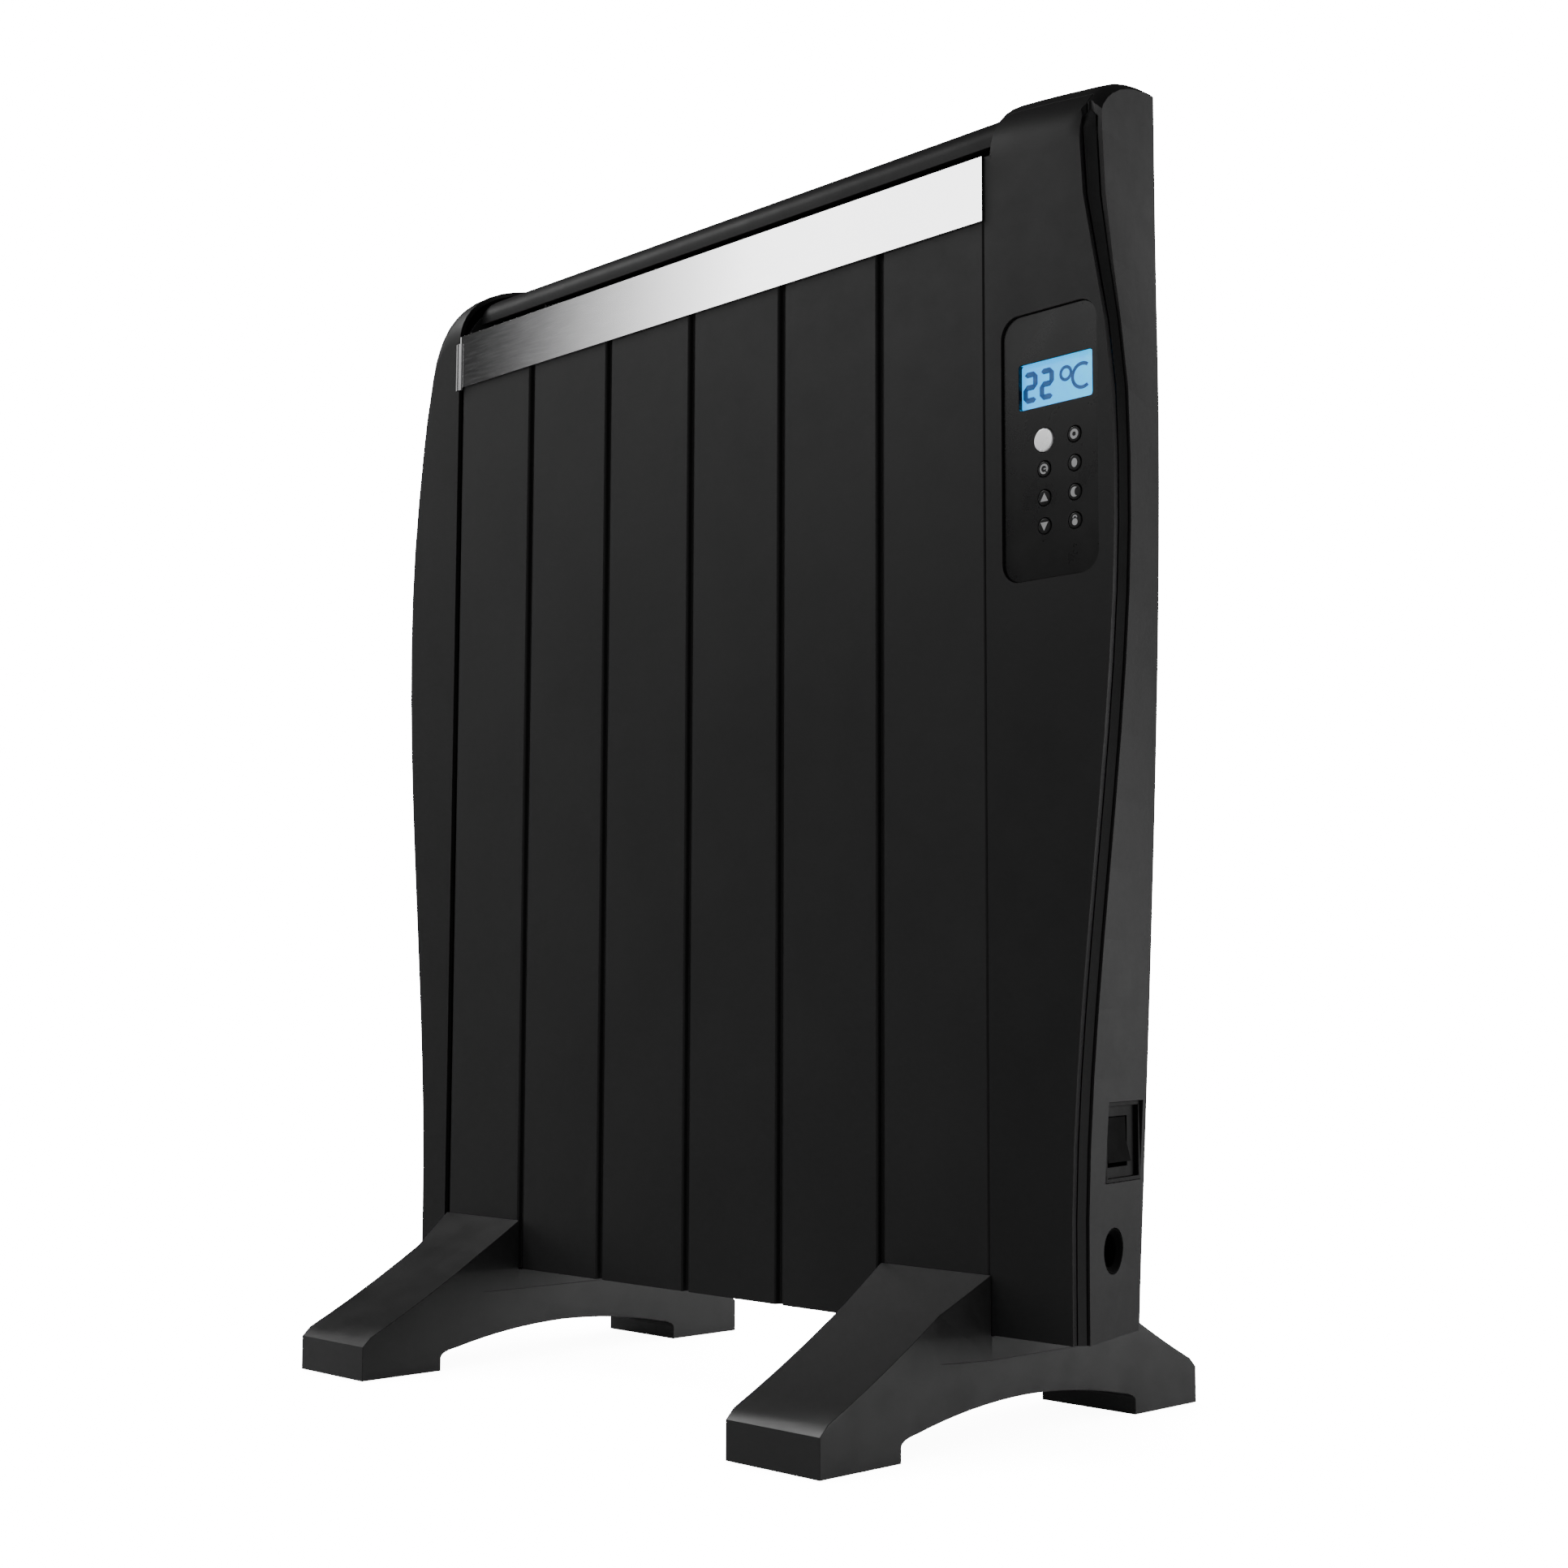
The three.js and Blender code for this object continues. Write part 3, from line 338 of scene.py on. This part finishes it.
def bar(x0, z0, x1, z1, width):
    """The outline of a straight stroke between two places, with pointed ends."""
    along = Vector((x1 - x0, z1 - z0)).normalized() * width / 2
    side = Vector((-along.y, along.x))
    a, b = Vector((x0, z0)), Vector((x1, z1))
    return [tuple(p) for p in (a - along, a + side, b + side, b + along, b - side, a - side)]


def arc(x, z, radius, start, end, width, steps=20):
    """Bars along an arc; the angles are in degrees, counter-clockwise from +X."""
    def at(angle, r):
        return (x + r * math.cos(math.radians(angle)), z + r * math.sin(math.radians(angle)))

    angles = [start + (end - start) * i / steps for i in range(steps + 1)]
    inner, outer = radius - width / 2, radius + width / 2
    return [[at(a, inner), at(a, outer), at(b, outer), at(b, inner)] for a, b in zip(angles, angles[1:])]


def disc(x, z, rx, rz, steps=24):
    """The outline of an ellipse."""
    turns = [2 * math.pi * i / steps for i in range(steps)]
    return [(x + rx * math.cos(t), z + rz * math.sin(t)) for t in turns]


def crescent(radius, steps=16):
    """A moon that opens to the right."""
    horn = 0.62 * radius
    outer = [math.radians(55 + 250 * i / steps) for i in range(steps + 1)]
    shape = [(radius * math.cos(t), radius * math.sin(t)) for t in outer]
    x, tip = radius * math.cos(outer[-1]), radius * math.sin(outer[0])
    inner = [-math.pi / 2 - math.pi * i / steps for i in range(1, steps)]
    return shape + [(x + horn * math.cos(t), tip * math.sin(t)) for t in inner]


def figure_two(x, z, width, height, stroke):
    """A segmented figure 2 whose lower left corner is at x and z."""
    middle, gap = height / 2, stroke * 0.35
    strokes = [
        (gap, height, width - gap, height), (width, middle + gap, width, height - gap),
        (gap, middle, width - gap, middle), (0, gap, 0, middle - gap), (gap, 0, width - gap, 0),
    ]
    return [bar(x + x0, z + z0, x + x1, z + z1, stroke) for x0, z0, x1, z1 in strokes]


def make_display_digits():
    """Prints 22, a degree sign and a C; the places and sizes are shares of the display's width and height."""
    low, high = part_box("display_module")
    wide, tall = high[0] - low[0], high[2] - low[2]
    size = (0.12 * wide, 0.40 * tall)
    shapes = []
    for left in (0.095, 0.295):
        shapes += figure_two(low[0] + left * wide, low[2] + 0.31 * tall, *size, 0.055 * wide)
    degree = (low[0] + 0.585 * wide, low[2] + 0.60 * tall)
    letter = (low[0] + 0.78 * wide, low[2] + 0.51 * tall)
    shapes += arc(*degree, 0.062 * wide, 0, 360, 0.032 * wide)
    shapes += arc(*letter, 0.115 * wide, 55, 305, 0.035 * wide)
    plates("display_digits", shapes, low[1], INK_DEPTH, INK, "root")


def icon(name, shapes):
    """Prints a symbol on a key; the shapes are in keys' radii about its middle."""
    low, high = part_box(f"{name}_button")
    cx, cz, r = (low[0] + high[0]) / 2, (low[2] + high[2]) / 2, (high[0] - low[0]) / 2
    placed = [[(cx + x * r, cz + z * r) for x, z in outline] for outline in shapes]
    plates(f"{name}_symbol", placed, low[1], ICON_DEPTH, ICON, f"{name}_button")


def make_icons():
    icon("timer", arc(0, 0, 0.52, -40, 300, 0.24) + [bar(0, 0, 0.3, 0, 0.16)])
    icon("up", [[(-0.6, -0.45), (0.6, -0.45), (0.05, 0.6)]])
    icon("down", [[(-0.6, 0.45), (-0.05, -0.6), (0.6, 0.45)]])
    icon("mode", arc(0, 0, 0.45, 0, 360, 0.34))
    icon("window", [disc(0, 0, 0.42, 0.56)])
    icon("night", [crescent(0.62)])
    icon("lock", [disc(0, -0.2, 0.42, 0.42)] + arc(0, 0.3, 0.28, 0, 180, 0.16))


make_display_digits()
make_icons()

# ---------------------------------------------------------------- chrome bead at the band's left end


BEAD_WIDTH = 6.0 * MM
BEAD_HEIGHT = 1.2 * MM
BEAD_STEPS = 10


def make_bead():
    """A half-round upright bead over the band's left end."""
    low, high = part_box("top_band")
    middle, foot = low[0] + 1.3 * MM, low[1] + 0.2 * MM
    turns = [math.pi * i / BEAD_STEPS for i in range(BEAD_STEPS + 1)]
    outline = [(middle - BEAD_WIDTH / 2 * math.cos(t), foot - BEAD_HEIGHT * math.sin(t)) for t in turns]
    mesh = bmesh.new()
    ends = (low[2] - 1.5 * MM, high[2] - 4 * MM)
    bottom, top = [[mesh.verts.new((x, y, z)) for x, y in outline] for z in ends]
    for i in range(BEAD_STEPS):
        mesh.faces.new((bottom[i], bottom[i + 1], top[i + 1], top[i]))
    mesh.faces.new((bottom[-1], bottom[0], top[0], top[-1]))
    mesh.faces.new(bottom)
    mesh.faces.new(top[::-1])
    shade(finish_piece(mesh, "band_end_bead", DARK_CHROME, "root"))


make_bead()

# ---------------------------------------------------------------- studio


def panel_light(name, at, towards, size, power):
    """A rectangular light aimed at a place."""
    data = bpy.data.lights.new(name, "AREA")
    data.shape, data.size, data.size_y = "RECTANGLE", size[0], size[1]
    data.energy = power
    light = bpy.data.objects.new(name, data)
    bpy.context.scene.collection.objects.link(light)
    light.location = at
    light.rotation_euler = (Vector(towards) - Vector(at)).to_track_quat("-Z", "Y").to_euler()


def sheet(name, corners, material):
    """A flat four-cornered stage sheet."""
    mesh = bpy.data.meshes.new(name)
    mesh.from_pydata(corners, [], [(0, 1, 2, 3)])
    mesh.materials.append(material)
    obj = bpy.data.objects.new(name, mesh)
    bpy.context.scene.collection.objects.link(obj)
    return obj


SKY_SEEN = 18.0  # brightness of the backdrop and the floor, as the camera sees them
SKY_LIGHT = 0.05  # brightness of the backdrop for every other ray
FLOOR_BOUNCE = 0.12  # brightness of the floor for every other ray
FLOOR_GAP = 0.0004
FLOOR_REACH = 40
WHITE = (1, 1, 1, 1)


def floor_paper():
    """White paper with a faint painted contact shadow, which lights the object only a little."""
    n = Nodes("floor_paper")
    n.set(Base_Color=n.ramp(n.noise(3), grey(0.78), grey(0.80)), Roughness=0.9)
    n.shader.inputs["Specular IOR Level"].default_value = 0.1
    # painted shade: ambient occlusion darkens the floor's glow near the object into a contact shadow
    contact = n.new("ShaderNodeAmbientOcclusion", {"Distance": 0.12}, samples=8).outputs["AO"]
    shaded = {"Value": contact, "To Min": 0.6 * SKY_SEEN, "To Max": SKY_SEEN}
    glow = n.new("ShaderNodeMapRange", shaded).outputs[0]
    seen = n.new("ShaderNodeLightPath").outputs["Is Camera Ray"]
    strength = n.new("ShaderNodeMix", {"Factor": seen, "A": FLOOR_BOUNCE, "B": glow})
    n.set(Emission_Color=WHITE, Emission_Strength=strength.outputs["Result"])
    return n.material


SOFTBOX_LEFT, SOFTBOX_RIGHT = -2.25, -0.5
SOFTBOX_Y = -1.5
SOFTBOX_BOTTOM, SOFTBOX_TOP = 1.0, 1.6
SOFTBOX_STRENGTH = 5.2


def gradient_card():
    """A softbox that fades out towards its left edge, for the bright band to mirror."""
    n = Nodes("softbox")
    x = n.new("ShaderNodeSeparateXYZ", {0: n.place}).outputs["X"]
    fade = n.new("ShaderNodeMapRange", {"Value": x, "From Min": -2.28, "From Max": -1.5}).outputs[0]
    power = n.new("ShaderNodeMath", {0: fade, 1: 3.1}, operation="POWER").outputs[0]
    glow = n.new("ShaderNodeMath", {0: power, 1: SOFTBOX_STRENGTH}, operation="MULTIPLY").outputs[0]
    n.set(Base_Color=(0, 0, 0, 1), Emission_Color=WHITE, Emission_Strength=glow)
    return n.material


def make_stage():
    signs = ((-1, -1), (1, -1), (1, 1), (-1, 1))
    floor = [(FLOOR_REACH * x, FLOOR_REACH * y, 0) for x, y in signs]
    sheet("floor", floor, floor_paper()).location.z = -FLOOR_GAP
    edges = ((SOFTBOX_LEFT, SOFTBOX_BOTTOM), (SOFTBOX_RIGHT, SOFTBOX_BOTTOM),
             (SOFTBOX_RIGHT, SOFTBOX_TOP), (SOFTBOX_LEFT, SOFTBOX_TOP))
    sheet("softbox", [(x, SOFTBOX_Y, z) for x, z in edges], gradient_card())


def make_world():
    """A white backdrop for the camera, which lights the object only a little."""
    world = bpy.data.worlds.new("studio")
    bpy.context.scene.world = world
    world.use_nodes = True
    tree = world.node_tree
    background = tree.nodes["Background"]
    background.inputs["Color"].default_value = WHITE
    background.inputs["Strength"].default_value = SKY_LIGHT
    seen = tree.nodes.new("ShaderNodeBackground")
    seen.inputs["Color"].default_value = WHITE
    seen.inputs["Strength"].default_value = SKY_SEEN
    rays = tree.nodes.new("ShaderNodeLightPath")
    mix = tree.nodes.new("ShaderNodeMixShader")
    tree.links.new(rays.outputs["Is Camera Ray"], mix.inputs[0])
    tree.links.new(background.outputs[0], mix.inputs[1])
    tree.links.new(seen.outputs[0], mix.inputs[2])
    tree.links.new(mix.outputs[0], tree.nodes["World Output"].inputs[0])


make_stage()
make_world()
panel_light("key", (-2.8, -0.5, 0.9), (0, 0, 0.35), (1.0, 1.4), 11)
panel_light("front", (-0.6, -2.6, 1.5), (0, 0, 0.3), (1.4, 1.4), 10)
panel_light("top", (-1.5, -0.6, 1.9), (0, 0, 0.05), (0.7, 0.7), 17)
panel_light("beside_camera", (1.5, -1.4, 0.5), (0.2, 0, 0.3), (0.6, 0.8), 2.5)
panel_light("backdrop", (1.6, 2.4, 0.9), (0.2, 0, 0.3), (2.4, 1.6), 22)
panel_light("low_side", (1.7, 1.5, 0.3), (0.1, 0, 0.05), (1.6, 0.6), 24)
